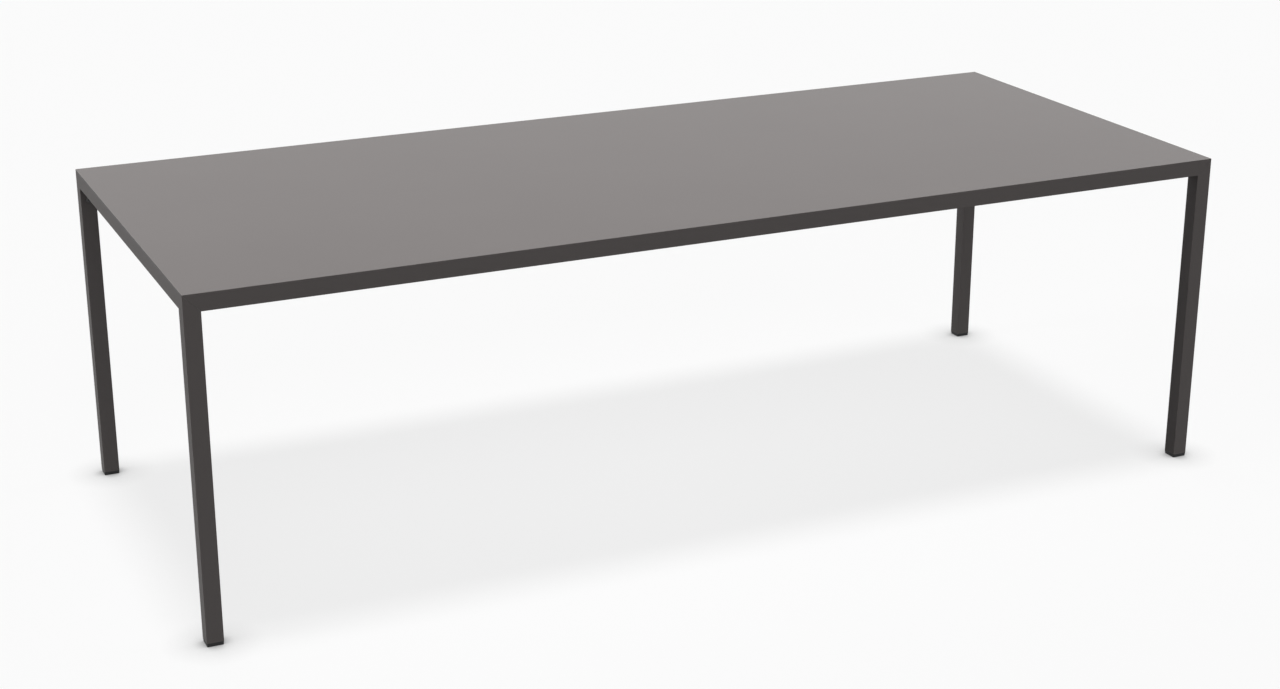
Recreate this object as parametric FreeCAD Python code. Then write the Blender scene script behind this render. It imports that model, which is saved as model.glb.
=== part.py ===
# A long dining table: a flush sheet top on a mitred square-tube frame, four legs and four levelling feet.
# Millimetres, +Z up, origin on the floor below the middle of the top, +X along the length, +Y to the rear.
import FreeCAD, Part
import math
import os

# Overall size, with the feet screwed right in
LENGTH = 2400.0
DEPTH = 1000.0
HEIGHT = 740.0

# Square tube of the rails and legs
TUBE = 35.0
TUBE_WALL = 2.0
TUBE_EDGE_RADIUS = 0.8
MITRE_GAP = 0.2

# Top panel: painted sheet, core board and backing sheet, bonded together
TOP_SHEET = 2.0
TOP_EDGE_RADIUS = 0.5
CORE_BOARD = 16.0
BACKING_SHEET = 1.0
PANEL_CLEARANCE = 0.8

# Ledges: angle strips inside the rails that carry the top panel
LEDGE_FLANGE = 18.0
LEDGE_WALL = 2.0
LEDGE_RECESS = 3.0
LEDGE_END_GAP = 0.5

# Battens: channels across the underside of the panel, open downwards
BATTEN_COUNT = 3
BATTEN_WIDTH = 30.0
BATTEN_HEIGHT = 10.0
BATTEN_WALL = 2.0
BATTEN_END_GAP = 2.0

# Inside radius of the folds in the ledges and the battens
FOLD_RADIUS = 1.5

# Corner blocks: one spigot into each of two rails and one into the leg
SPIGOT_LENGTH = 55.0
SPIGOT_CLEARANCE = 0.15
SPIGOT_CHAMFER = 3.0

# Button-head screws that hold the rails and the legs on the spigots
RAIL_SCREW = 6.0
RAIL_SCREW_HEAD = 10.5
RAIL_SCREW_HEAD_HEIGHT = 3.3
RAIL_SCREW_SOCKET = 4.0
RAIL_SCREW_GRIP = 12.0
LEG_SCREW = 8.0
LEG_SCREW_HEAD = 14.0
LEG_SCREW_HEAD_HEIGHT = 4.4
LEG_SCREW_SOCKET = 5.0
LEG_SCREW_GRIP = 14.0

# Small screws up into the core board, through the ledges and the battens
BOARD_SCREW = 3.5
BOARD_SCREW_HEAD = 7.0
BOARD_SCREW_HEAD_HEIGHT = 2.4
BOARD_SCREW_SOCKET = 2.5
BOARD_SCREW_COVER = 4.0
BATTEN_SCREW_MARGIN = 60.0
BATTEN_SCREW_SPACING = 280.0

# Blind rivets from the ledges into the rails
RIVET = 4.0
RIVET_HEAD = 6.5
RIVET_HEAD_HEIGHT = 1.4
RIVET_BULB = 5.6
RIVET_BULB_LENGTH = 5.0
RIVET_PIN = 2.2
RIVET_PIN_RECESS = 0.6
RIVET_MARGIN = 45.0
RIVET_SPACING = 280.0

# Shape of every head: share of its height that is rounded, and that the hex socket takes
HEAD_ROUNDING = 0.75
SOCKET_DEPTH = 0.6

# Clearances of the fasteners: round a thread, round a shank and beyond a tip
THREAD_CLEARANCE = 0.05
SHANK_CLEARANCE = 0.3
TIP_CLEARANCE = 0.3

# Plug in the foot of each leg, with a rim that shows, and its threaded bush
PLUG_LENGTH = 22.0
PLUG_RIM = 3.7
PLUG_RIM_INSET = 0.3
PLUG_CLEARANCE = 0.1
BUSH_WALL = 2.0
BUSH_LENGTH = 15.0
BUSH_FLANGE = 2.0
BUSH_FLANGE_WIDTH = 2.0

# Levelling foot: a square pad held on the turned-down end of a threaded stem
FOOT_TRAVEL = 10.0
PAD_HEIGHT = 4.0
PAD_INSET = 0.6
PAD_CORNER_RADIUS = 1.6
PAD_EDGE = 0.6
PAD_GAP = 0.3
STEM_DIAMETER = 8.0
STEM_SPARE = 1.0
STEM_CHAMFER = 1.0
COLLAR_WIDTH = 3.0
COLLAR_HEIGHT = 2.0
NECK_DIAMETER = 7.0
STEM_HEAD_WIDTH = 1.5
STEM_HEAD_HEIGHT = 1.1
STEM_HEAD_RECESS = 0.6
STEM_SOCKET = 4.0
STEM_SOCKET_DEPTH = 5.0
RUNNING_CLEARANCE = 0.05
FOOT_CLEARANCE = 0.3
STOP_GAP = 0.2

# How far a cutter starts or ends outside the piece that it cuts, and how near two points count as one
CUT_PAST = 1.0
SAME_PLACE = 0.001

# Levels and sizes that follow from those above
frame_top = HEIGHT - TOP_SHEET
frame_bottom = frame_top - TUBE
panel_bottom = frame_top - CORE_BOARD - BACKING_SHEET
ledge_bottom = frame_bottom + LEDGE_RECESS
rivet_level = (ledge_bottom + panel_bottom - LEDGE_WALL) / 2
leg_bottom = PAD_HEIGHT + PAD_GAP + PLUG_RIM
collar_bottom = PAD_HEIGHT + RUNNING_CLEARANCE
collar_top = collar_bottom + COLLAR_HEIGHT
bush_bottom = collar_top + STOP_GAP
bush_top = bush_bottom + BUSH_FLANGE + BUSH_LENGTH
tube_bore = TUBE - 2 * TUBE_WALL
mitre_shift = MITRE_GAP / math.sqrt(2)
spigot_screw_place = TUBE + SPIGOT_LENGTH / 2
rail_screw_hole = RAIL_SCREW + 2 * SHANK_CLEARANCE
leg_screw_hole = LEG_SCREW + 2 * SHANK_CLEARANCE
board_screw_hole = BOARD_SCREW + 2 * THREAD_CLEARANCE
rivet_hole = RIVET + 2 * THREAD_CLEARANCE
bush_diameter = STEM_DIAMETER + 2 * BUSH_WALL
bush_flange_diameter = bush_diameter + 2 * BUSH_FLANGE_WIDTH
collar_diameter = STEM_DIAMETER + 2 * COLLAR_WIDTH
stem_head_diameter = NECK_DIAMETER + 2 * STEM_HEAD_WIDTH

ORIGIN = FreeCAD.Vector(0, 0, 0)
X_AXIS = FreeCAD.Vector(1, 0, 0)
Y_AXIS = FreeCAD.Vector(0, 1, 0)
Z_AXIS = FreeCAD.Vector(0, 0, 1)

# Each side of the table, a quarter turn on from the one before: its length and its distance from the middle
SIDES = {
    "front": (LENGTH, DEPTH / 2),
    "right": (DEPTH, LENGTH / 2),
    "rear": (LENGTH, DEPTH / 2),
    "left": (DEPTH, LENGTH / 2),
}

# Each corner: whether it is mirrored to the right, and to the rear
CORNERS = {
    "front_left": (False, False),
    "front_right": (True, False),
    "rear_left": (False, True),
    "rear_right": (True, True),
}


def vector(x, y, z):
    return FreeCAD.Vector(x, y, z)


def block(x_range, y_range, z_range):
    """A box between two limits along each axis."""
    low, high = zip(x_range, y_range, z_range)
    sizes = [b - a for a, b in zip(low, high)]
    return Part.makeBox(*sizes, vector(*low))


def rod(diameter, length, start=ORIGIN, direction=Z_AXIS):
    """A round bar from a start point along a direction."""
    return Part.makeCylinder(diameter / 2, length, start, direction)


def prism(points, draw):
    """A flat outline drawn out along a vector."""
    return Part.Face(Part.makePolygon(points + points[:1])).extrude(draw)


def turned(outline):
    """A solid turned about Z from a closed outline of (radius, height) points."""
    points = [vector(radius, 0, height) for radius, height in outline]
    return Part.Face(Part.makePolygon(points + points[:1])).revolve(ORIGIN, Z_AXIS, 360)


def rounded_bar(width, depth, height, radius):
    """An upright bar on the XY plane, centred on Z, with its four long edges rounded."""
    bar = block((-width / 2, width / 2), (-depth / 2, depth / 2), (0, height))
    long_edges = [e for e in bar.Edges if e.BoundBox.ZLength > height / 2]
    return bar.makeFillet(radius, long_edges)


def folded(bar, radius, middles):
    """A bar with its long edges rounded where they pass through the points given."""
    folds = [e for e in bar.Edges if any(e.CenterOfMass.isEqual(middle, SAME_PLACE) for middle in middles)]
    return bar.makeFillet(radius, folds)


def square_tube(length):
    """The table's square tube, upright on the XY plane and centred on Z."""
    half = tube_bore / 2
    bore = block((-half, half), (-half, half), (-CUT_PAST, length + CUT_PAST))
    return rounded_bar(TUBE, TUBE, length, TUBE_EDGE_RADIUS).cut(bore)


def hexagon(across_flats, depth):
    """A hexagonal prism upward from the XY plane, centred on Z."""
    radius = across_flats / math.sqrt(3)
    turns = [math.radians(60 * k) for k in range(6)]
    points = [vector(radius * math.cos(a), radius * math.sin(a), 0) for a in turns]
    return prism(points, Z_AXIS * depth)


def button_head(diameter, height):
    """A head below the XY plane, with its lower rim well rounded."""
    head = rod(diameter, height, vector(0, 0, -height))
    rim = [e for e in head.Edges if e.BoundBox.ZMax < -height / 2]
    return head.makeFillet(HEAD_ROUNDING * height, rim)


def socket_screw(diameter, head_diameter, head_height, socket, length):
    """A screw that points up, with the seat of its head on the XY plane and a hex socket from below."""
    screw = button_head(head_diameter, head_height).fuse(rod(diameter, length)).removeSplitter()
    recess = hexagon(socket, SOCKET_DEPTH * head_height).translated(vector(0, 0, -head_height))
    return screw.cut(recess)


def spread(first, last, spacing):
    """Even places from first to last, no further apart than the spacing."""
    steps = max(1, math.ceil((last - first) / spacing))
    return [first + (last - first) * k / steps for k in range(steps + 1)]


def between(places):
    """The places midway between neighbours."""
    return [(a + b) / 2 for a, b in zip(places, places[1:])]


def on_side(shape, side):
    """Moves a piece to its side. It is drawn along X, with the side's outer face on y = 0."""
    _, distance = SIDES[side]
    quarter_turns = list(SIDES).index(side)
    return shape.translated(vector(0, -distance, 0)).rotated(ORIGIN, Z_AXIS, 90 * quarter_turns)


def at_corner(shape, corner):
    """Mirrors a piece, drawn at the front left, to its corner."""
    to_right, to_rear = CORNERS[corner]
    if to_right:
        shape = shape.mirror(ORIGIN, X_AXIS)
    if to_rear:
        shape = shape.mirror(ORIGIN, Y_AXIS)
    return shape


def on_leg_axis(shape):
    """Moves a piece drawn about Z to the axis of the front left leg."""
    return shape.translated(vector((TUBE - LENGTH) / 2, (TUBE - DEPTH) / 2, 0))


def rail_screw_places(length):
    """Places of the two screws along a side's rail, halfway along each spigot."""
    reach = length / 2 - spigot_screw_place
    return [-reach, reach]


def rivet_places(length):
    """Places of the rivets along a side, clear of the corner blocks inside its rail."""
    reach = length / 2 - TUBE - SPIGOT_LENGTH - RIVET_MARGIN
    return spread(-reach, reach, RIVET_SPACING)


def panel_screw_places(length):
    """Places (along, inward) of the screws through a side's ledge, midway between its rivets."""
    inward = TUBE + (LEDGE_FLANGE + LEDGE_WALL) / 2
    return [(x, inward) for x in between(rivet_places(length))]


def batten_places():
    """Middles of the battens along X, spread evenly over the length."""
    step = LENGTH / (BATTEN_COUNT + 1)
    return [step * (k + 1) - LENGTH / 2 for k in range(BATTEN_COUNT)]


def batten_reach():
    """Half the length of a batten, which ends just short of the front and rear ledges."""
    return DEPTH / 2 - TUBE - LEDGE_FLANGE - BATTEN_END_GAP


def batten_screw_places():
    """Places of the screws along a batten."""
    reach = batten_reach() - BATTEN_SCREW_MARGIN
    return spread(-reach, reach, BATTEN_SCREW_SPACING)


def mitre_outline(length):
    """Outline (along, inward) that ends a rail at 45 degrees, drawn one tube width past both its faces."""
    tip = length / 2 - mitre_shift
    outer, inner = -TUBE, 2 * TUBE
    return [(outer - tip, outer), (tip - outer, outer), (tip - inner, inner), (inner - tip, inner)]


def rail(length):
    """Rail of one side, mitred in plan to its neighbours and in elevation to the legs, with its holes."""
    tube = square_tube(length).translated(vector(0, 0, -length / 2)).rotated(ORIGIN, Y_AXIS, 90)
    tube = tube.translated(vector(0, TUBE / 2, frame_top - TUBE / 2))
    plan = [vector(x, y, frame_bottom - TUBE) for x, y in mitre_outline(length)]
    elevation = [vector(x, -TUBE, frame_top - drop) for x, drop in mitre_outline(length)]
    tube = tube.common(prism(plan, Z_AXIS * 3 * TUBE)).common(prism(elevation, Y_AXIS * 3 * TUBE))
    below = frame_bottom - CUT_PAST
    behind = TUBE + CUT_PAST
    through = TUBE_WALL + 2 * CUT_PAST
    screws = [vector(x, TUBE / 2, below) for x in rail_screw_places(length)]
    rivets = [vector(x, behind, rivet_level) for x in rivet_places(length)]
    holes = [rod(rail_screw_hole, through, place) for place in screws]
    holes += [rod(rivet_hole, through, place, -Y_AXIS) for place in rivets]
    return tube.cut(Part.makeCompound(holes))


def ledge(side):
    """Folded angle of one side: a flange under the panel and one down the rail. The end ones fit between."""
    length = SIDES[side][0]
    inset = TUBE + LEDGE_END_GAP
    if side in ("left", "right"):
        inset += LEDGE_FLANGE
    reach = length / 2 - inset
    past_ends = (-reach - CUT_PAST, reach + CUT_PAST)
    inner_face, inner_edge = TUBE + LEDGE_WALL, TUBE + LEDGE_FLANGE
    underside = panel_bottom - LEDGE_WALL
    bar = block((-reach, reach), (TUBE, inner_edge), (ledge_bottom, panel_bottom))
    bar = folded(bar, FOLD_RADIUS + LEDGE_WALL, [vector(0, TUBE, panel_bottom)])
    inside = block(past_ends, (inner_face, inner_edge + CUT_PAST), (ledge_bottom - CUT_PAST, underside))
    inside = folded(inside, FOLD_RADIUS, [vector(0, inner_face, underside)])
    through = LEDGE_WALL + 2 * CUT_PAST
    front = TUBE - CUT_PAST
    above = panel_bottom + CUT_PAST
    rivets = [vector(x, front, rivet_level) for x in rivet_places(length)]
    screws = [vector(x, y, above) for x, y in panel_screw_places(length)]
    holes = [rod(rivet_hole, through, place, Y_AXIS) for place in rivets]
    holes += [rod(board_screw_hole, through, place, -Z_AXIS) for place in screws]
    return bar.cut(inside).cut(Part.makeCompound(holes))


def ledge_rivets(side):
    """Blind rivets of one side: head on the ledge, sunk where its pin broke off, and bulb inside the rail."""
    grip = LEDGE_WALL + TUBE_WALL
    bulb = rod(RIVET_BULB, RIVET_BULB_LENGTH, vector(0, 0, grip))
    rivet = button_head(RIVET_HEAD, RIVET_HEAD_HEIGHT).fuse(rod(RIVET, grip)).fuse(bulb).removeSplitter()
    rivet = rivet.cut(rod(RIVET_PIN, RIVET_PIN_RECESS, vector(0, 0, -RIVET_HEAD_HEIGHT)))
    rivet = rivet.rotated(ORIGIN, X_AXIS, 90)
    places = [vector(x, TUBE + LEDGE_WALL, rivet_level) for x in rivet_places(SIDES[side][0])]
    return [on_side(rivet.translated(place), side) for place in places]


def board_screw(wall):
    """Screw through a wall and the backing sheet into the core board, stopping short of the board's top."""
    length = wall + BACKING_SHEET + CORE_BOARD - BOARD_SCREW_COVER
    return socket_screw(BOARD_SCREW, BOARD_SCREW_HEAD, BOARD_SCREW_HEAD_HEIGHT, BOARD_SCREW_SOCKET, length)


def panel_screws(side):
    """Screws up through one side's ledge into the core board."""
    screw = board_screw(LEDGE_WALL).translated(vector(0, 0, panel_bottom - LEDGE_WALL))
    places = [vector(x, y, 0) for x, y in panel_screw_places(SIDES[side][0])]
    return [on_side(screw.translated(place), side) for place in places]


def rail_screws(side):
    """Screws up through the underside of one rail into its two spigots."""
    length = TUBE_WALL + RAIL_SCREW_GRIP
    screw = socket_screw(RAIL_SCREW, RAIL_SCREW_HEAD, RAIL_SCREW_HEAD_HEIGHT, RAIL_SCREW_SOCKET, length)
    places = [vector(x, TUBE / 2, frame_bottom) for x in rail_screw_places(SIDES[side][0])]
    return [on_side(screw.translated(place), side) for place in places]


def batten(x):
    """Folded channel across the panel's underside, its web against the backing sheet."""
    reach = batten_reach()
    half = BATTEN_WIDTH / 2
    hollow = half - BATTEN_WALL
    low = panel_bottom - BATTEN_HEIGHT
    web = panel_bottom - BATTEN_WALL
    past_ends = (-reach - CUT_PAST, reach + CUT_PAST)
    outer_sides, inner_sides = (x - half, x + half), (x - hollow, x + hollow)
    outer_folds = [vector(side, 0, panel_bottom) for side in outer_sides]
    inner_folds = [vector(side, 0, web) for side in inner_sides]
    channel = block(outer_sides, (-reach, reach), (low, panel_bottom))
    channel = folded(channel, FOLD_RADIUS + BATTEN_WALL, outer_folds)
    inside = folded(block(inner_sides, past_ends, (low - CUT_PAST, web)), FOLD_RADIUS, inner_folds)
    through = BATTEN_WALL + 2 * CUT_PAST
    places = [vector(x, y, web - CUT_PAST) for y in batten_screw_places()]
    holes = [rod(board_screw_hole, through, place) for place in places]
    return channel.cut(inside).cut(Part.makeCompound(holes))


def batten_screws(x):
    """Screws up through one batten into the core board."""
    screw = board_screw(BATTEN_WALL).translated(vector(x, 0, panel_bottom - BATTEN_WALL))
    return [screw.translated(vector(0, y, 0)) for y in batten_screw_places()]


def board_holes():
    """Pilot holes for every screw that goes up into the panel."""
    depth = BACKING_SHEET + CORE_BOARD - BOARD_SCREW_COVER + TIP_CLEARANCE
    pilot = rod(board_screw_hole, CUT_PAST + depth, vector(0, 0, panel_bottom - CUT_PAST))
    holes = [pilot.translated(vector(x, y, 0)) for x in batten_places() for y in batten_screw_places()]
    for side, (length, _) in SIDES.items():
        holes += [on_side(pilot.translated(vector(x, y, 0)), side) for x, y in panel_screw_places(length)]
    return Part.makeCompound(holes)


def inside_rails(low, high):
    """A board between two levels that fills the frame, clear of the rails."""
    x = LENGTH / 2 - TUBE - PANEL_CLEARANCE
    y = DEPTH / 2 - TUBE - PANEL_CLEARANCE
    return block((-x, x), (-y, y), (low, high)).cut(board_holes())


def top_sheet():
    """Sheet over the whole table, flush with the rails, with its upper edge eased."""
    sheet = rounded_bar(LENGTH, DEPTH, TOP_SHEET, TUBE_EDGE_RADIUS)
    upper = [e for e in sheet.Edges if e.BoundBox.ZMin > TOP_SHEET / 2]
    return sheet.makeFillet(TOP_EDGE_RADIUS, upper).translated(vector(0, 0, frame_top))


def leg():
    """Front left leg: square tube, mitred at the top to both rails, with the hole for its screw."""
    tube = on_leg_axis(square_tube(frame_top - leg_bottom).translated(vector(0, 0, leg_bottom)))
    corner = vector(-LENGTH / 2, -DEPTH / 2, 0)
    low = leg_bottom - CUT_PAST
    high = frame_top - mitre_shift
    slope = [(-TUBE, low), (2 * TUBE, low), (2 * TUBE, high - 2 * TUBE), (-TUBE, high + TUBE)]
    to_front_rail = prism([vector(u, -TUBE, z) for u, z in slope], Y_AXIS * 3 * TUBE)
    to_left_rail = prism([vector(-TUBE, u, z) for u, z in slope], X_AXIS * 3 * TUBE)
    tube = tube.common(to_front_rail.translated(corner)).common(to_left_rail.translated(corner))
    start = corner + vector(TUBE / 2, TUBE + CUT_PAST, frame_top - spigot_screw_place)
    return tube.cut(rod(leg_screw_hole, TUBE_WALL + 2 * CUT_PAST, start, -Y_AXIS))


def leg_screw():
    """Screw through the rear face of the front left leg into its spigot."""
    length = TUBE_WALL + LEG_SCREW_GRIP
    screw = socket_screw(LEG_SCREW, LEG_SCREW_HEAD, LEG_SCREW_HEAD_HEIGHT, LEG_SCREW_SOCKET, length)
    place = vector((TUBE - LENGTH) / 2, TUBE - DEPTH / 2, frame_top - spigot_screw_place)
    return screw.rotated(ORIGIN, X_AXIS, 90).translated(place)


def corner_block():
    """Front left corner block: three square spigots from one corner, with chamfered ends and screw holes."""
    near = TUBE_WALL + SPIGOT_CLEARANCE
    far = TUBE - near
    end = TUBE + SPIGOT_LENGTH
    spigot = block((near, far), (near, far), (near, end))
    spigot = spigot.makeChamfer(SPIGOT_CHAMFER, [e for e in spigot.Edges if e.BoundBox.ZMin > TUBE])
    middle = vector(TUBE / 2, TUBE / 2, TUBE / 2)
    along_x = spigot.rotated(middle, Y_AXIS, 90)
    along_y = spigot.rotated(middle, X_AXIS, -90)
    down = spigot.rotated(middle, X_AXIS, 180)
    body = along_x.fuse(along_y).fuse(down).removeSplitter()
    rail_thread = RAIL_SCREW + 2 * THREAD_CLEARANCE
    leg_thread = LEG_SCREW + 2 * THREAD_CLEARANCE
    rail_hole_end = TUBE_WALL + RAIL_SCREW_GRIP + TIP_CLEARANCE
    leg_hole_depth = TUBE_WALL + LEG_SCREW_GRIP + TIP_CLEARANCE
    holes = [
        rod(rail_thread, rail_hole_end, vector(spigot_screw_place, TUBE / 2, 0)),
        rod(rail_thread, rail_hole_end, vector(TUBE / 2, spigot_screw_place, 0)),
        rod(leg_thread, leg_hole_depth, vector(TUBE / 2, TUBE, TUBE - spigot_screw_place), -Y_AXIS),
    ]
    body = body.cut(Part.makeCompound(holes))
    return body.translated(vector(-LENGTH / 2, -DEPTH / 2, frame_bottom))


def leg_plug():
    """Plug of the front left leg: a rim under the tube's end, a body up inside it and a stepped bore."""
    rim_width = TUBE - 2 * PLUG_RIM_INSET
    body_width = tube_bore - 2 * PLUG_CLEARANCE
    rim_bottom = leg_bottom - PLUG_RIM
    rim = rounded_bar(rim_width, rim_width, PLUG_RIM, TUBE_EDGE_RADIUS)
    body = rounded_bar(body_width, body_width, PLUG_RIM + PLUG_LENGTH, TUBE_EDGE_RADIUS)
    plug = rim.fuse(body).removeSplitter().translated(vector(0, 0, rim_bottom))
    recess_depth = bush_bottom - rim_bottom + CUT_PAST
    recess = rod(collar_diameter + 2 * FOOT_CLEARANCE, recess_depth, vector(0, 0, rim_bottom - CUT_PAST))
    seat = rod(bush_flange_diameter + 2 * RUNNING_CLEARANCE, BUSH_FLANGE, vector(0, 0, bush_bottom))
    bore = rod(bush_diameter + 2 * RUNNING_CLEARANCE, PLUG_RIM + PLUG_LENGTH, vector(0, 0, bush_bottom))
    return on_leg_axis(plug.cut(recess).cut(seat).cut(bore))


def bush():
    """Threaded bush moulded into the front left plug, flanged below."""
    length = bush_top - bush_bottom
    sleeve = rod(bush_diameter, length).fuse(rod(bush_flange_diameter, BUSH_FLANGE)).removeSplitter()
    sleeve = sleeve.cut(rod(STEM_DIAMETER + 2 * RUNNING_CLEARANCE, length))
    return on_leg_axis(sleeve.translated(vector(0, 0, bush_bottom)))


def foot_stem():
    """Front left stem: thread, collar over the pad, neck through it and head below, with a hex socket."""
    thread, collar = STEM_DIAMETER / 2, collar_diameter / 2
    neck, head = NECK_DIAMETER / 2, stem_head_diameter / 2
    head_top = STEM_HEAD_RECESS + STEM_HEAD_HEIGHT
    top = bush_top + FOOT_TRAVEL + STEM_SPARE
    outline = [
        (0, STEM_HEAD_RECESS),
        (head, STEM_HEAD_RECESS),
        (head, head_top),
        (neck, head_top),
        (neck, collar_bottom),
        (collar, collar_bottom),
        (collar, collar_top),
        (thread, collar_top),
        (thread, top - STEM_CHAMFER),
        (thread - STEM_CHAMFER, top),
        (0, top),
    ]
    socket = hexagon(STEM_SOCKET, STEM_SOCKET_DEPTH).translated(vector(0, 0, STEM_HEAD_RECESS))
    return on_leg_axis(turned(outline).cut(socket))


def foot_pad():
    """Front left pad: square under the leg, with an eased lower edge, recessed below for the stem's head."""
    width = TUBE - 2 * PAD_INSET
    web_bottom = STEM_HEAD_RECESS + STEM_HEAD_HEIGHT + RUNNING_CLEARANCE
    below = vector(0, 0, -CUT_PAST)
    pad = rounded_bar(width, width, PAD_HEIGHT, PAD_CORNER_RADIUS)
    pad = pad.makeChamfer(PAD_EDGE, [e for e in pad.Edges if e.BoundBox.ZMax < PAD_HEIGHT / 2])
    recess = rod(stem_head_diameter + 2 * FOOT_CLEARANCE, web_bottom + CUT_PAST, below)
    hole = rod(NECK_DIAMETER + 2 * RUNNING_CLEARANCE, PAD_HEIGHT + 2 * CUT_PAST, below)
    return on_leg_axis(pad.cut(recess).cut(hole))


def export(node, shape):
    shape.exportStep(f"parts/{node}.step")


def export_sides():
    """The rails and ledges, and the fasteners of all four sides."""
    for side, (length, _) in SIDES.items():
        export(f"{side}_rail", on_side(rail(length), side))
        export(f"{side}_ledge", on_side(ledge(side), side))
    groups = {"rail_screws": rail_screws, "ledge_rivets": ledge_rivets, "panel_screws": panel_screws}
    for name, make in groups.items():
        export(name, Part.makeCompound([piece for side in SIDES for piece in make(side)]))


def export_panel():
    """The top panel and the battens screwed to it."""
    export("top_sheet", top_sheet())
    export("core_board", inside_rails(frame_top - CORE_BOARD, frame_top))
    export("backing_sheet", inside_rails(panel_bottom, panel_bottom + BACKING_SHEET))
    for number, x in enumerate(batten_places(), 1):
        export(f"batten_{number}", batten(x))
    export("batten_screws", Part.makeCompound([s for x in batten_places() for s in batten_screws(x)]))


def export_corners():
    """The pieces of each corner, from the corner block down to the foot."""
    pieces = {
        "corner_block": corner_block(),
        "leg": leg(),
        "leg_plug": leg_plug(),
        "bush": bush(),
        "foot_stem": foot_stem(),
        "foot_pad": foot_pad(),
    }
    for corner in CORNERS:
        for name, shape in pieces.items():
            export(f"{corner}_{name}", at_corner(shape, corner))
    export("leg_screws", Part.makeCompound([at_corner(leg_screw(), corner) for corner in CORNERS]))


os.makedirs("parts", exist_ok=True)
export_panel()
export_sides()
export_corners()
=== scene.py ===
# Looks of the long dining table: powder-coated top and frame, plated ironwork below, black screw feet.
# Metres, +Z up, origin on the floor below the middle of the top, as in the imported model.
import bpy
import functools
import math
import numpy as np
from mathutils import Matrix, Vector


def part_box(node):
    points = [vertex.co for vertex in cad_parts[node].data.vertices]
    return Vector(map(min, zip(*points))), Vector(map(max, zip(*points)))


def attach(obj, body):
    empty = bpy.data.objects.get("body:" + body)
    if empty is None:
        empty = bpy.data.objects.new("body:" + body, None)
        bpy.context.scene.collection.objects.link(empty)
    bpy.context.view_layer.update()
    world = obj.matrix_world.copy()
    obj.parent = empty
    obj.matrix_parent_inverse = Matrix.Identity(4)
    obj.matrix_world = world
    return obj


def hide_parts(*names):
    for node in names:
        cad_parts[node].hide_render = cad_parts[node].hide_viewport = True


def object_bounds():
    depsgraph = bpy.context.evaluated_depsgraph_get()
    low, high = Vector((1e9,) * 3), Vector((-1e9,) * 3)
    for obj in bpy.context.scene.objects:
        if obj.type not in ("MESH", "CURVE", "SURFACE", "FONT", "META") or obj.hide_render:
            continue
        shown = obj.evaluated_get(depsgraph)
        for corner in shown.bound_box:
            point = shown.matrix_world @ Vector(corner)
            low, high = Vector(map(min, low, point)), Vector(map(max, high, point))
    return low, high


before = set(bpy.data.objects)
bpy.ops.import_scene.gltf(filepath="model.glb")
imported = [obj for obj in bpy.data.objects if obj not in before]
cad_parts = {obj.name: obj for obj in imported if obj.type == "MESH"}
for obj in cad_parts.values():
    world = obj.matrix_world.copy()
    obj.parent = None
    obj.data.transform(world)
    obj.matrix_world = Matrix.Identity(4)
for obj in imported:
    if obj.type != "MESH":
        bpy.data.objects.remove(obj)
cad_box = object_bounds()

CORNERS = ("front_left", "front_right", "rear_left", "rear_right")
MILLIMETRE = 1e-3
MICROMETRE = 1e-6

# Outer faces, tube and leg axes of the frame, for the wear along its edges and the rings on the bushes
half_length, half_depth, table_top = cad_box[1]
rail_low, rail_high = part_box("front_rail")
tube = rail_high.z - rail_low.z
frame_top = rail_high.z
leg_reach = half_length - tube / 2, half_depth - tube / 2

# Colours, as light reflected in red, green and blue
PAINT = (0.165, 0.151, 0.1475)
ZINC = (0.56, 0.58, 0.61)
ZINC_DULL = (0.44, 0.45, 0.45)
ALUMINIUM = (0.66, 0.66, 0.67)
ALUMINIUM_DULL = (0.52, 0.52, 0.53)
BLACK_OXIDE = (0.022, 0.021, 0.021)
BLACK_OXIDE_RUBBED = (0.075, 0.072, 0.070)
NYLON = (0.016, 0.016, 0.017)
NYLON_SCUFFED = (0.050, 0.049, 0.048)
BRASS = (0.70, 0.50, 0.22)
BRASS_DULL = (0.48, 0.33, 0.15)
FIBRE_PALE = (0.50, 0.35, 0.20)
FIBRE_DARK = (0.30, 0.19, 0.10)
WHITE = (1.0, 1.0, 1.0)
BLACK = (0.0, 0.0, 0.0)

# Powder coat: gloss, roughness and depth of texture of the satin top and of the matt frame
TOP_FINISH = (0.04, 0.22, 0.03 * MILLIMETRE)
FRAME_FINISH = (0.08, 0.50, 0.10 * MILLIMETRE)
# Shares of the paint's colour where it is darkest, lightest and rubbed
PAINT_DARK = 0.9
PAINT_LIGHT = 1.1
PAINT_RUBBED = 1.4
# Sizes of its grains, its orange peel, its drift of tone, its wiping marks and the patches of its wear
PAINT_GRAIN = 0.8 * MILLIMETRE
PAINT_PEEL = 2.6 * MILLIMETRE
PAINT_DRIFT = 320 * MILLIMETRE
WIPING_MARK = (0.55, 0.035, 0.25)
WEAR_PATCH = 45 * MILLIMETRE
# How far the wear reaches from an edge, and how much of the paint it changes
WEAR_REACH = 1.6 * MILLIMETRE
WEAR_SHARE = 0.5

# Zinc plate
ZINC_ROUGHNESS = 0.36
ZINC_RELIEF = 12 * MICROMETRE
ZINC_CLOUD = 22 * MILLIMETRE
ZINC_SPOT = 1.4 * MILLIMETRE

# Mill aluminium
ALUMINIUM_ROUGHNESS = 0.40
ALUMINIUM_RELIEF = 9 * MICROMETRE
ALUMINIUM_PATCH = 110 * MILLIMETRE
ALUMINIUM_SPECK = 1.1 * MILLIMETRE

# Lines that drawing and rolling leave on these metals, and an even grain: sizes along x, y and z
DRAWN_ALONG_X = (0.30, 0.0007, 0.0007)
DRAWN_ALONG_Y = (0.0007, 0.30, 0.0007)
ROLLED_ALONG_X = (0.45, 0.0011, 0.0011)
EVEN_GRAIN = (0.002, 0.002, 0.002)

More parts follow.
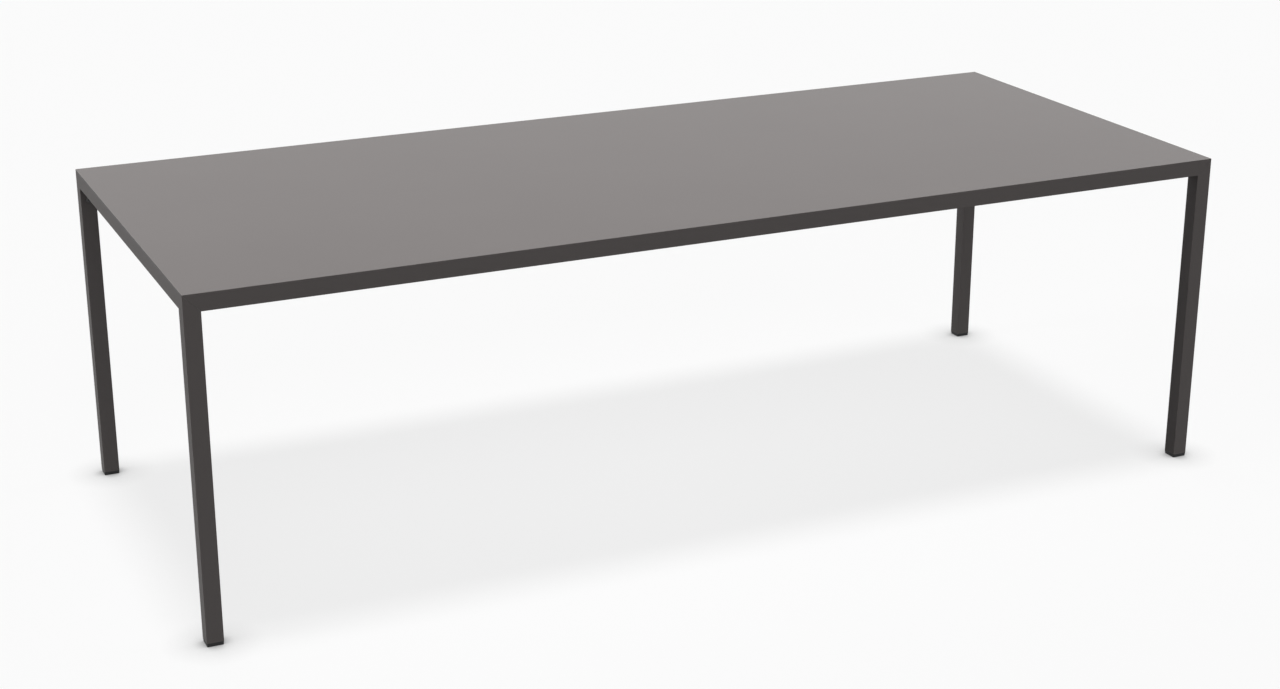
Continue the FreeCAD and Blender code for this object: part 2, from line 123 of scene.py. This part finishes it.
# Black oxide
OXIDE_ROUGHNESS = 0.42
OXIDE_GLOSS = 0.6
OXIDE_RELIEF = 8 * MICROMETRE
OXIDE_SPOT = 1.8 * MILLIMETRE
OXIDE_GRIT = 0.35 * MILLIMETRE

# Moulded nylon, with scuffs that fade out between two heights above the floor
NYLON_ROUGHNESS = 0.52
NYLON_GLOSS = 0.45
NYLON_RELIEF = 22 * MICROMETRE
NYLON_GRAIN = 0.5 * MILLIMETRE
NYLON_BLOOM = 9 * MILLIMETRE
NYLON_SCRATCH = (0.004, 0.0007, 0.0007)
SCUFF_FADES = 0.2 * MILLIMETRE
SCUFF_ENDS = 2.2 * MILLIMETRE

# Turned brass, with the spacing of the tool's rings
BRASS_ROUGHNESS = 0.30
BRASS_RELIEF = 6 * MICROMETRE
BRASS_TARNISH = 4 * MILLIMETRE
TOOL_RING = 0.28 * MILLIMETRE

# Wood fibre
FIBRE_ROUGHNESS = 0.78
FIBRE_GLOSS = 0.3
FIBRE_RELIEF = 60 * MICROMETRE
FIBRE_SIZE = (0.0016, 0.0016, 0.0004)
FIBRE_FLECK = 6 * MILLIMETRE
# Shares of the board's thickness off its middle where it starts to be denser and where it is densest
DENSE_FROM = 0.2
DENSE_TO = 0.5

# Thread and outline of a levelling foot's stem
THREAD_PITCH = 1.25 * MILLIMETRE
THREAD_RADIUS = 4.0 * MILLIMETRE
THREAD_DEPTH = 0.61 * THREAD_PITCH
THREAD_CREST = 1 / 8
THREAD_ROOT = 1 / 4
COLLAR_RADIUS = 7.0 * MILLIMETRE
COLLAR_BOTTOM = 3.45 * MILLIMETRE
COLLAR_HEIGHT = 2.0 * MILLIMETRE
NECK_RADIUS = 3.5 * MILLIMETRE
HEAD_RADIUS = 5.0 * MILLIMETRE
HEAD_HEIGHT = 1.1 * MILLIMETRE
SOCKET_FLAT = 2.0 * MILLIMETRE
SOCKET_DEPTH = 5.0 * MILLIMETRE
STEM_CHAMFER = 1.0 * MILLIMETRE
EASED_EDGE = 0.25 * MILLIMETRE
ROUND_STEPS = 60
STEPS_IN_PITCH = 14
SHARP_ANGLE = 35

# Camera that took the photograph: turned to the right and tilted down in degrees, its lens in millimetres
EYE = (-2.0732, -4.4684, 2.0587)
EYE_TURN = 24.668
EYE_TILT = 19.635
LENS = 62.514

# Surround: its level to the eye and in reflections, and as light on the table
BACKGROUND = 0.968
AMBIENT = 0.03

# Floor: its disc, the colour and share of its part that lamps light, and its colour for bounced light
FLOOR_RADIUS = 60.0
FLOOR_STEPS = 96
FLOOR_PAINT = 0.79
FLOOR_LIT_SHARE = 0.20
FLOOR_BOUNCE = 0.03

# Painted shade beside a foot, darkening the floor's glow: reach of its dark core and soft rim, and how
# dark each is
CORE_REACH = 0.025
CORE_SHADE = 0.44
RIM_REACH = 0.09
RIM_SHADE = 0.82
SHADE_SAMPLES = 8

# Lamps: the way from the table to each, its spread in degrees and its level on a face turned to it
LAMPS = {
    "overhead_lamp": ((0.0, 0.0, 1.0), 14, 0.81),
    "front_lamp": ((0.0, -0.9, 0.42), 60, 0.30),
    "left_lamp": ((-0.9, 0.08, 0.42), 16, 0.175),
    "rear_lamp": ((0.0, 0.96, 0.27), 40, 0.29),
    "right_lamp": ((0.96, 0.0, 0.27), 40, 0.25),
}


class Shade:
    """One socket of a material's nodes. Arithmetic on it adds Math nodes."""

    def __init__(self, tree, socket=None):
        self.tree = tree
        self.socket = socket

    def node(self, kind, settings=None, sockets=None, out=0):
        """Adds a node of that kind: its settings first, then a value or a link for each socket named."""
        made = self.tree.nodes.new(kind)
        for name, value in (settings or {}).items():
            setattr(made, name, value)
        for name, value in (sockets or {}).items():
            if isinstance(value, Shade):
                self.tree.links.new(value.socket, made.inputs[name])
            else:
                made.inputs[name].default_value = value
        return Shade(self.tree, made.outputs[out] if made.outputs else None)

    def outlet(self, name):
        """Another output of the node that this socket belongs to."""
        return Shade(self.tree, self.socket.node.outputs[name])

    def maths(self, operation, *others):
        """A Math node with this socket as its first value."""
        return self.node("ShaderNodeMath", {"operation": operation}, dict(enumerate((self, *others))))

    def __add__(self, other):
        return self.maths("ADD", other)

    def __sub__(self, other):
        return self.maths("SUBTRACT", other)

    def __rsub__(self, other):
        return self.node("ShaderNodeMath", {"operation": "SUBTRACT"}, {0: other, 1: self})

    def __mul__(self, other):
        return self.maths("MULTIPLY", other)

    def __abs__(self):
        return self.maths("ABSOLUTE")

    __radd__ = __add__
    __rmul__ = __mul__


def new_material(name):
    """An empty material, and the shade that its nodes start from."""
    material = bpy.data.materials.new(name)
    material.use_nodes = True
    material.node_tree.nodes.clear()
    return material, Shade(material.node_tree)


def place_of(shade):
    """The point on the piece, in the table's frame."""
    return shade.node("ShaderNodeTexCoord", out="Object")


def axes_of(place):
    """The point's x, y and z as three numbers."""
    split = place.node("ShaderNodeSeparateXYZ", {}, {0: place})
    return split, split.outlet("Y"), split.outlet("Z")


def noise(place, feature=1.0, detail=2.0):
    """Soft noise about zero, from -0.5 to 0.5, with lumps one feature across."""
    sockets = {"Vector": place, "Scale": 1 / feature, "Detail": detail}
    return place.node("ShaderNodeTexNoise", {}, sockets) - 0.5


def streaks(place, sizes, detail=2.0):
    """Soft noise about zero whose lumps have their own size along x, y and z."""
    stretched = place.node("ShaderNodeVectorMath", {"operation": "DIVIDE"}, {0: place, 1: sizes})
    return noise(stretched, detail=detail)


def step(value, start, end):
    """0 at start and 1 at end, with a soft step between."""
    sockets = {"Value": value, "From Min": start, "From Max": end}
    return value.node("ShaderNodeMapRange", {"interpolation_type": "SMOOTHSTEP"}, sockets)


def opaque(colour):
    """The colour with the full alpha that a colour socket takes."""
    return (*colour, 1.0)


def scaled(colour, factor):
    """The colour made lighter or darker by a factor."""
    return tuple(factor * part for part in colour)


def blend(amount, first, second):
    """The first colour at 0 and the second at 1.

    A Mix node for colours takes its factor at socket 0 and its colours at 6 and 7, and gives output 2.
    """
    ends = [end if isinstance(end, Shade) else opaque(end) for end in (first, second)]
    sockets = {0: amount, 6: ends[0], 7: ends[1]}
    return amount.node("ShaderNodeMix", {"data_type": "RGBA"}, sockets, out=2)


def surface(shade, height, depth, **sockets):
    """Ends a material in a principled surface, with bumps of a depth over a height from -0.5 to 0.5."""
    named = {name.replace("_", " "): value for name, value in sockets.items()}
    named["Normal"] = shade.node("ShaderNodeBump", {}, {"Distance": depth, "Height": height})
    shader = shade.node("ShaderNodeBsdfPrincipled", {}, named)
    shade.node("ShaderNodeOutputMaterial", {}, {"Surface": shader})


def near(distance):
    """1 on a face and 0 where the wear of an edge along it ends."""
    return 1 - step(abs(distance), 0.0, WEAR_REACH)


def worn_edges(place, pairs):
    """1 along the edges where two faces of the frame meet, for each pair of axes across those faces.

    x, y and z stand for both faces of a tube across that axis, and X, Y and Z for the table's outer
    faces alone.
    """
    x, y, z = axes_of(place)
    inward = {"x": half_length - abs(x), "y": half_depth - abs(y), "z": frame_top - z}
    faces = {axis: near(tube / 2 - abs(depth - tube / 2)) for axis, depth in inward.items()}
    faces.update({"X": near(inward["x"]), "Y": near(inward["y"]), "Z": near(table_top - z)})
    edges = [faces[first] * faces[second] for first, second in pairs]
    return functools.reduce(lambda edge, other: edge.maths("MAXIMUM", other), edges)


def powder_coat(name, pairs, finish):
    """Warm grey powder coat: grains, orange peel, a slow drift of tone and paler, smoother edges."""
    gloss, roughness, depth = finish
    material, shade = new_material(name)
    place = place_of(shade)
    grain = noise(place, PAINT_GRAIN)
    peel = noise(place, PAINT_PEEL, detail=1.0)
    drift = noise(place, PAINT_DRIFT, detail=3.0)
    wiped = streaks(place, WIPING_MARK)
    patches = step(noise(place, WEAR_PATCH, detail=3.0), -0.12, 0.2)
    rubbed = worn_edges(place, pairs) * patches * WEAR_SHARE
    tone = 0.5 + 0.35 * drift + 0.8 * grain
    colour = blend(tone, scaled(PAINT, PAINT_DARK), scaled(PAINT, PAINT_LIGHT))
    colour = blend(rubbed, colour, scaled(PAINT, PAINT_RUBBED))
    rough = roughness + 0.06 * grain + 0.03 * drift + 0.012 * wiped - 0.08 * rubbed
    height = 0.6 * peel + 0.4 * grain
    surface(shade, height, depth, Base_Color=colour, Roughness=rough, Specular_IOR_Level=gloss)
    return material


def zinc_steel(name, lines_size):
    """Bright zinc plate: drawing lines along the strip, cloudy passivation and rolled-in grain."""
    material, shade = new_material(name)
    place = place_of(shade)
    lines = streaks(place, lines_size, detail=3.0)
    cloud = noise(place, ZINC_CLOUD, detail=4.0)
    spots = noise(place, ZINC_SPOT)
    tone = step(0.9 * cloud + 0.5 * lines + 0.3 * spots, -0.3, 0.3)
    colour = blend(tone, ZINC_DULL, ZINC)
    rough = ZINC_ROUGHNESS + 0.16 * cloud + 0.10 * lines + 0.08 * spots
    height = 0.7 * lines + 0.3 * spots
    surface(shade, height, ZINC_RELIEF, Base_Color=colour, Roughness=rough, Metallic=1.0)
    return material


def mill_aluminium(name, lines_size):
    """Mill-finish aluminium: fine rolling lines one way, and dull patches."""
    material, shade = new_material(name)
    place = place_of(shade)
    lines = streaks(place, lines_size, detail=4.0)
    patches = noise(place, ALUMINIUM_PATCH, detail=3.0)
    specks = noise(place, ALUMINIUM_SPECK)
    tone = step(0.35 * patches + 0.8 * lines + 0.2 * specks, -0.35, 0.35)
    colour = blend(tone, ALUMINIUM_DULL, ALUMINIUM)
    rough = ALUMINIUM_ROUGHNESS + 0.06 * patches + 0.14 * lines + 0.06 * specks
    surface(shade, lines, ALUMINIUM_RELIEF, Base_Color=colour, Roughness=rough, Metallic=1.0)
    return material


def black_steel(name):
    """Black-oxide screws: matt black with paler, rubbed spots."""
    material, shade = new_material(name)
    place = place_of(shade)
    spots = noise(place, OXIDE_SPOT, detail=3.0)
    grit = noise(place, OXIDE_GRIT)
    rubbed = step(spots + 0.4 * grit, 0.02, 0.3)
    colour = blend(rubbed, BLACK_OXIDE, BLACK_OXIDE_RUBBED)
    rough = OXIDE_ROUGHNESS + 0.2 * grit - 0.1 * rubbed
    sockets = {"Base_Color": colour, "Roughness": rough, "Specular_IOR_Level": OXIDE_GLOSS}
    surface(shade, grit, OXIDE_RELIEF, **sockets)
    return material


def black_nylon(name):
    """Moulded black nylon: spark-eroded grain, a slight bloom, and scuffs where it meets the floor."""
    material, shade = new_material(name)
    place = place_of(shade)
    z = axes_of(place)[2]
    grain = noise(place, NYLON_GRAIN)
    bloom = noise(place, NYLON_BLOOM, detail=3.0)
    scratches = streaks(place, NYLON_SCRATCH)
    low = 1 - step(z, SCUFF_FADES, SCUFF_ENDS)
    scuffed = low * step(scratches + 0.5 * bloom, 0.0, 0.3) * 0.8 + step(bloom, 0.05, 0.4) * 0.15
    colour = blend(scuffed, NYLON, NYLON_SCUFFED)
    rough = NYLON_ROUGHNESS + 0.22 * grain + 0.12 * bloom
    sockets = {"Base_Color": colour, "Roughness": rough, "Specular_IOR_Level": NYLON_GLOSS}
    surface(shade, grain, NYLON_RELIEF, **sockets)
    return material


def turned_brass(name):
    """Turned brass: tool rings round the leg's axis, and tarnish."""
    material, shade = new_material(name)
    place = place_of(shade)
    x, y, z = axes_of(place)
    across = abs(x) - leg_reach[0]
    along = abs(y) - leg_reach[1]
    radius = (across * across + along * along).maths("SQRT")
    rings = ((radius + z) * (2 * math.pi / TOOL_RING)).maths("SINE")
    tarnish = noise(place, BRASS_TARNISH, detail=3.0)
    tone = step(tarnish + 0.08 * rings, -0.3, 0.25)
    colour = blend(tone, BRASS_DULL, BRASS)
    rough = BRASS_ROUGHNESS + 0.2 * tarnish + 0.04 * rings
    surface(shade, 0.5 * rings, BRASS_RELIEF, Base_Color=colour, Roughness=rough, Metallic=1.0)
    return material


def fibre_board(name):
    """Wood-fibre core: matted pale and dark fibres, denser towards both faces."""
    material, shade = new_material(name)
    place = place_of(shade)
    z = axes_of(place)[2]
    low, high = (corner.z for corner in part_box("core_board"))
    thickness = high - low
    dense = step(abs(z - (low + high) / 2), DENSE_FROM * thickness, DENSE_TO * thickness)
    fibres = streaks(place, FIBRE_SIZE, detail=4.0)
    flecks = noise(place, FIBRE_FLECK, detail=3.0)
    tone = step(fibres + 0.5 * flecks, -0.3, 0.3) * 0.7 + 0.3 * (1 - dense)
    colour = blend(tone, FIBRE_DARK, FIBRE_PALE)
    rough = FIBRE_ROUGHNESS + 0.15 * fibres - 0.1 * dense
    sockets = {"Base_Color": colour, "Roughness": rough, "Specular_IOR_Level": FIBRE_GLOSS}
    surface(shade, fibres, FIBRE_RELIEF, **sockets)
    return material


def dress(nodes, material):
    """Gives the material to CAD nodes, whose shape stays as it is."""
    for node in nodes:
        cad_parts[node].material_slots[0].material = material


def dress_frame():
    """Finishes of every CAD node that shows as it is."""
    dress(["top_sheet"], powder_coat("top_coat", ["XZ", "YZ"], TOP_FINISH))
    dress(["front_rail", "rear_rail"], powder_coat("long_rail_coat", ["yz"], FRAME_FINISH))
    dress(["left_rail", "right_rail"], powder_coat("end_rail_coat", ["xz"], FRAME_FINISH))
    legs = [f"{corner}_leg" for corner in CORNERS]
    dress(legs, powder_coat("leg_coat", ["xy"], FRAME_FINISH))
    dress(["front_ledge", "rear_ledge"], zinc_steel("long_ledge_zinc", DRAWN_ALONG_X))
    battens = [f"batten_{k}" for k in (1, 2, 3)]
    dress(["left_ledge", "right_ledge"] + battens, zinc_steel("cross_zinc", DRAWN_ALONG_Y))
    dress(["panel_screws", "batten_screws"], zinc_steel("screw_zinc", EVEN_GRAIN))
    dress(["backing_sheet"], mill_aluminium("backing_aluminium", ROLLED_ALONG_X))
    blocks = [f"{corner}_corner_block" for corner in CORNERS]
    dress(blocks + ["ledge_rivets"], mill_aluminium("cast_aluminium", EVEN_GRAIN))
    dress(["rail_screws", "leg_screws"], black_steel("screw_black"))
    mouldings = [f"{corner}_{piece}" for corner in CORNERS for piece in ("leg_plug", "foot_pad")]
    dress(mouldings, black_nylon("foot_nylon"))
    dress([f"{corner}_bush" for corner in CORNERS], turned_brass("bush_brass"))
    dress(["core_board"], fibre_board("core_fibre"))


def thread_drop(turn, height):
    """Depth of the thread below its crest: a trapezoid wave of height over pitch less the turn.

    The crest is an eighth of the pitch wide, the root a quarter, and the flanks run straight between.
    """
    wave = np.abs((height / THREAD_PITCH - turn / (2 * np.pi)) % 1.0 - 0.5)
    flank = (1 - THREAD_CREST - THREAD_ROOT) / 2
    return THREAD_DEPTH * np.clip((wave - THREAD_CREST / 2) / flank, 0.0, 1.0)


def hexagon(turn):
    """Radius of the hex socket: a flat's distance over the cosine of the angle from its middle."""
    side = np.pi / 3
    return SOCKET_FLAT / np.cos((turn + side / 2) % side - side / 2)


def threaded_radius(turn, height, low, high):
    """Radius of the thread: its crest's, less thread_drop, and no more than the chamfer's at the top.

    The drop fades out over a pitch at each end.
    """
    fade = np.clip(np.minimum(height - low, high - height) / THREAD_PITCH, 0.0, 1.0)
    drop = thread_drop(turn[None, :], height[:, None]) * fade[:, None]
    chamfer = THREAD_RADIUS - np.clip(height - (high - STEM_CHAMFER), 0.0, None)
    return np.minimum(THREAD_RADIUS - drop, chamfer[:, None])


def stem_points(low, high):
    """Points of a stem on a grid of rows along its outline and turns round its axis, about the Z axis.

    The outline runs from the bottom of the hex socket down its wall, round the head, neck and collar
    and up the thread. A row's radius is the hexagon's in the socket, the outline's round the head,
    neck and collar, and the thread's above them.
    """
    turn = np.arange(ROUND_STEPS) * 2 * np.pi / ROUND_STEPS
    head_top = low + HEAD_HEIGHT
    collar = low + COLLAR_BOTTOM
    thread_start = collar + COLLAR_HEIGHT
    outline = [
        (HEAD_RADIUS - EASED_EDGE, low),
        (HEAD_RADIUS, low + EASED_EDGE),
        (HEAD_RADIUS, head_top),
        (NECK_RADIUS, head_top),
        (NECK_RADIUS, collar),
        (COLLAR_RADIUS - EASED_EDGE, collar),
        (COLLAR_RADIUS, collar + EASED_EDGE),
        (COLLAR_RADIUS, thread_start - EASED_EDGE),
        (COLLAR_RADIUS - EASED_EDGE, thread_start),
    ]
    plain_radius, plain_height = np.array(outline).T
    rows = math.ceil((high - thread_start) / THREAD_PITCH * STEPS_IN_PITCH)
    thread_height = np.linspace(thread_start, high, rows)
    socket = np.array([hexagon(turn), hexagon(turn)])
    plain = np.repeat(plain_radius[:, None], ROUND_STEPS, axis=1)
    threaded = threaded_radius(turn, thread_height, thread_start, high)
    radius = np.concatenate([socket, plain, threaded])
    height = np.concatenate([[low + SOCKET_DEPTH, low], plain_height, thread_height])
    level = np.repeat(height[:, None], ROUND_STEPS, axis=1)
    return np.stack([radius * np.cos(turn), radius * np.sin(turn), level], axis=-1)


def add_object(name, data):
    """Puts a mesh, lamp or camera into the scene as an object at the origin."""
    made = bpy.data.objects.new(name, data)
    bpy.context.scene.collection.objects.link(made)
    return made


def closed_tube(name, grid, first_pole, last_pole):
    """A mesh piece from a grid of rings, closed at both ends by a fan of triangles to a pole."""
    rings, steps = grid.shape[:2]
    points = np.concatenate([grid.reshape(-1, 3), [first_pole, last_pole]])
    corner = np.arange(rings * steps).reshape(rings, steps)
    onward = np.roll(corner, -1, axis=1)
    quads = np.stack([corner[:-1], onward[:-1], onward[1:], corner[1:]], axis=-1).reshape(-1, 4)
    start = np.full(steps, rings * steps)
    first_fan = np.stack([start, onward[0], corner[0]], axis=-1)
    last_fan = np.stack([start + 1, corner[-1], onward[-1]], axis=-1)
    mesh = bpy.data.meshes.new(name)
    mesh.from_pydata(points.tolist(), [], quads.tolist() + first_fan.tolist() + last_fan.tolist())
    mesh.shade_smooth()
    mesh.set_sharp_from_angle(angle=math.radians(SHARP_ANGLE))
    return add_object(name, mesh)


def threaded_stems():
    """Cuts the screw thread on the four stems, where the frame has plain ones."""
    finish = zinc_steel("stem_zinc", EVEN_GRAIN)
    for corner in CORNERS:
        node = f"{corner}_foot_stem"
        low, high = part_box(node)
        middle = (low + high) / 2
        grid = stem_points(low.z, high.z) + np.array([middle.x, middle.y, 0.0])
        socket_end = (middle.x, middle.y, low.z + SOCKET_DEPTH)
        top_end = (middle.x, middle.y, high.z)
        piece = closed_tube(f"{corner}_threaded_stem", grid, socket_end, top_end)
        piece.data.materials.append(finish)
        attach(piece, f"{corner}_stem")
        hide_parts(node)


def seen_directly(shade):
    """1 for rays from the camera, from a gloss or through glass, 0 for soft bounced light."""
    camera = shade.node("ShaderNodeLightPath", out="Is Camera Ray")
    return camera + camera.outlet("Is Glossy Ray") + camera.outlet("Is Transmission Ray")


def shut_in(shade, reach):
    """Share of the sky over a point that something within the reach covers."""
    settings = {"samples": SHADE_SAMPLES}
    return 1 - shade.node("ShaderNodeAmbientOcclusion", settings, {"Distance": reach}, out="AO")


def floor_white(name):
    """White to the eye, with the table's shadow from the lamps and painted shade beside its feet, and
    clear from below.
    """
    material, shade = new_material(name)
    # Painted shade: the glow darkens where legs and feet nearby cover the sky, in place of their shadow
    core = CORE_SHADE * shut_in(shade, CORE_REACH)
    rim = RIM_SHADE * shut_in(shade, RIM_REACH)
    painted_contact_shade = blend(core + rim, WHITE, BLACK)
    glow = shade.node("ShaderNodeEmission", {}, {"Color": painted_contact_shade, "Strength": BACKGROUND})
    lit = shade.node("ShaderNodeBsdfDiffuse", {}, {"Color": opaque(scaled(WHITE, FLOOR_PAINT))})
    seen = shade.node("ShaderNodeMixShader", {}, {0: FLOOR_LIT_SHARE, 1: glow, 2: lit})
    bounce = shade.node("ShaderNodeBsdfDiffuse", {}, {"Color": opaque(scaled(WHITE, FLOOR_BOUNCE))})
    upper = shade.node("ShaderNodeMixShader", {}, {0: seen_directly(shade), 1: bounce, 2: seen})
    clear = shade.node("ShaderNodeBsdfTransparent")
    below = shade.node("ShaderNodeNewGeometry", out="Backfacing")
    whole = shade.node("ShaderNodeMixShader", {}, {0: below, 1: upper, 2: clear})
    shade.node("ShaderNodeOutputMaterial", {}, {"Surface": whole})
    return material


def pale_floor():
    """A wide flat disc below the table: one face round a circle of points."""
    turn = np.arange(FLOOR_STEPS) * 2 * np.pi / FLOOR_STEPS
    circle = FLOOR_RADIUS * np.stack([np.cos(turn), np.sin(turn), 0 * turn], axis=-1)
    mesh = bpy.data.meshes.new("floor")
    mesh.from_pydata(circle.tolist(), [], [list(range(FLOOR_STEPS))])
    mesh.materials.append(floor_white("floor_white"))
    floor = add_object("floor", mesh)


def white_surround():
    """White all round to the eye and in reflections, with weak soft light from everywhere."""
    world = bpy.data.worlds.new("surround")
    bpy.context.scene.world = world
    world.use_nodes = True
    world.node_tree.nodes.clear()
    shade = Shade(world.node_tree)
    weak = shade.node("ShaderNodeBackground", {}, {"Color": opaque(WHITE), "Strength": AMBIENT})
    white = shade.node("ShaderNodeBackground", {}, {"Color": opaque(WHITE), "Strength": BACKGROUND})
    whole = shade.node("ShaderNodeMixShader", {}, {0: seen_directly(shade), 1: weak, 2: white})
    shade.node("ShaderNodeOutputWorld", {}, {"Surface": whole})


def soft_lamp(name, towards, spread, level):
    """A distant lamp in a direction from the table, with a spread in degrees, left out of the gloss.

    A lamp of energy pi times the level shows a face turned to it at its written colour times the level.
    """
    lamp = bpy.data.lights.new(name, "SUN")
    lamp.angle = math.radians(spread)
    lamp.energy = math.pi * level
    stand = add_object(name, lamp)
    stand.visible_glossy = False
    stand.rotation_euler = Vector(towards).to_track_quat("Z", "Y").to_euler()


def photo_camera():
    """The camera at the photograph's place."""
    lens = bpy.data.cameras.new("camera")
    lens.lens = LENS
    lens.clip_end = 2 * FLOOR_RADIUS
    camera = add_object("camera", lens)
    camera.location = EYE
    camera.rotation_euler = (math.radians(90 - EYE_TILT), 0, math.radians(-EYE_TURN))
    bpy.context.scene.camera = camera


def studio():
    """Floor, surround, lamps and camera."""
    pale_floor()
    white_surround()
    for name, (towards, spread, level) in LAMPS.items():
        soft_lamp(name, towards, spread, level)
    photo_camera()
    bpy.context.scene.view_settings.view_transform = "Standard"


dress_frame()
threaded_stems()
studio()
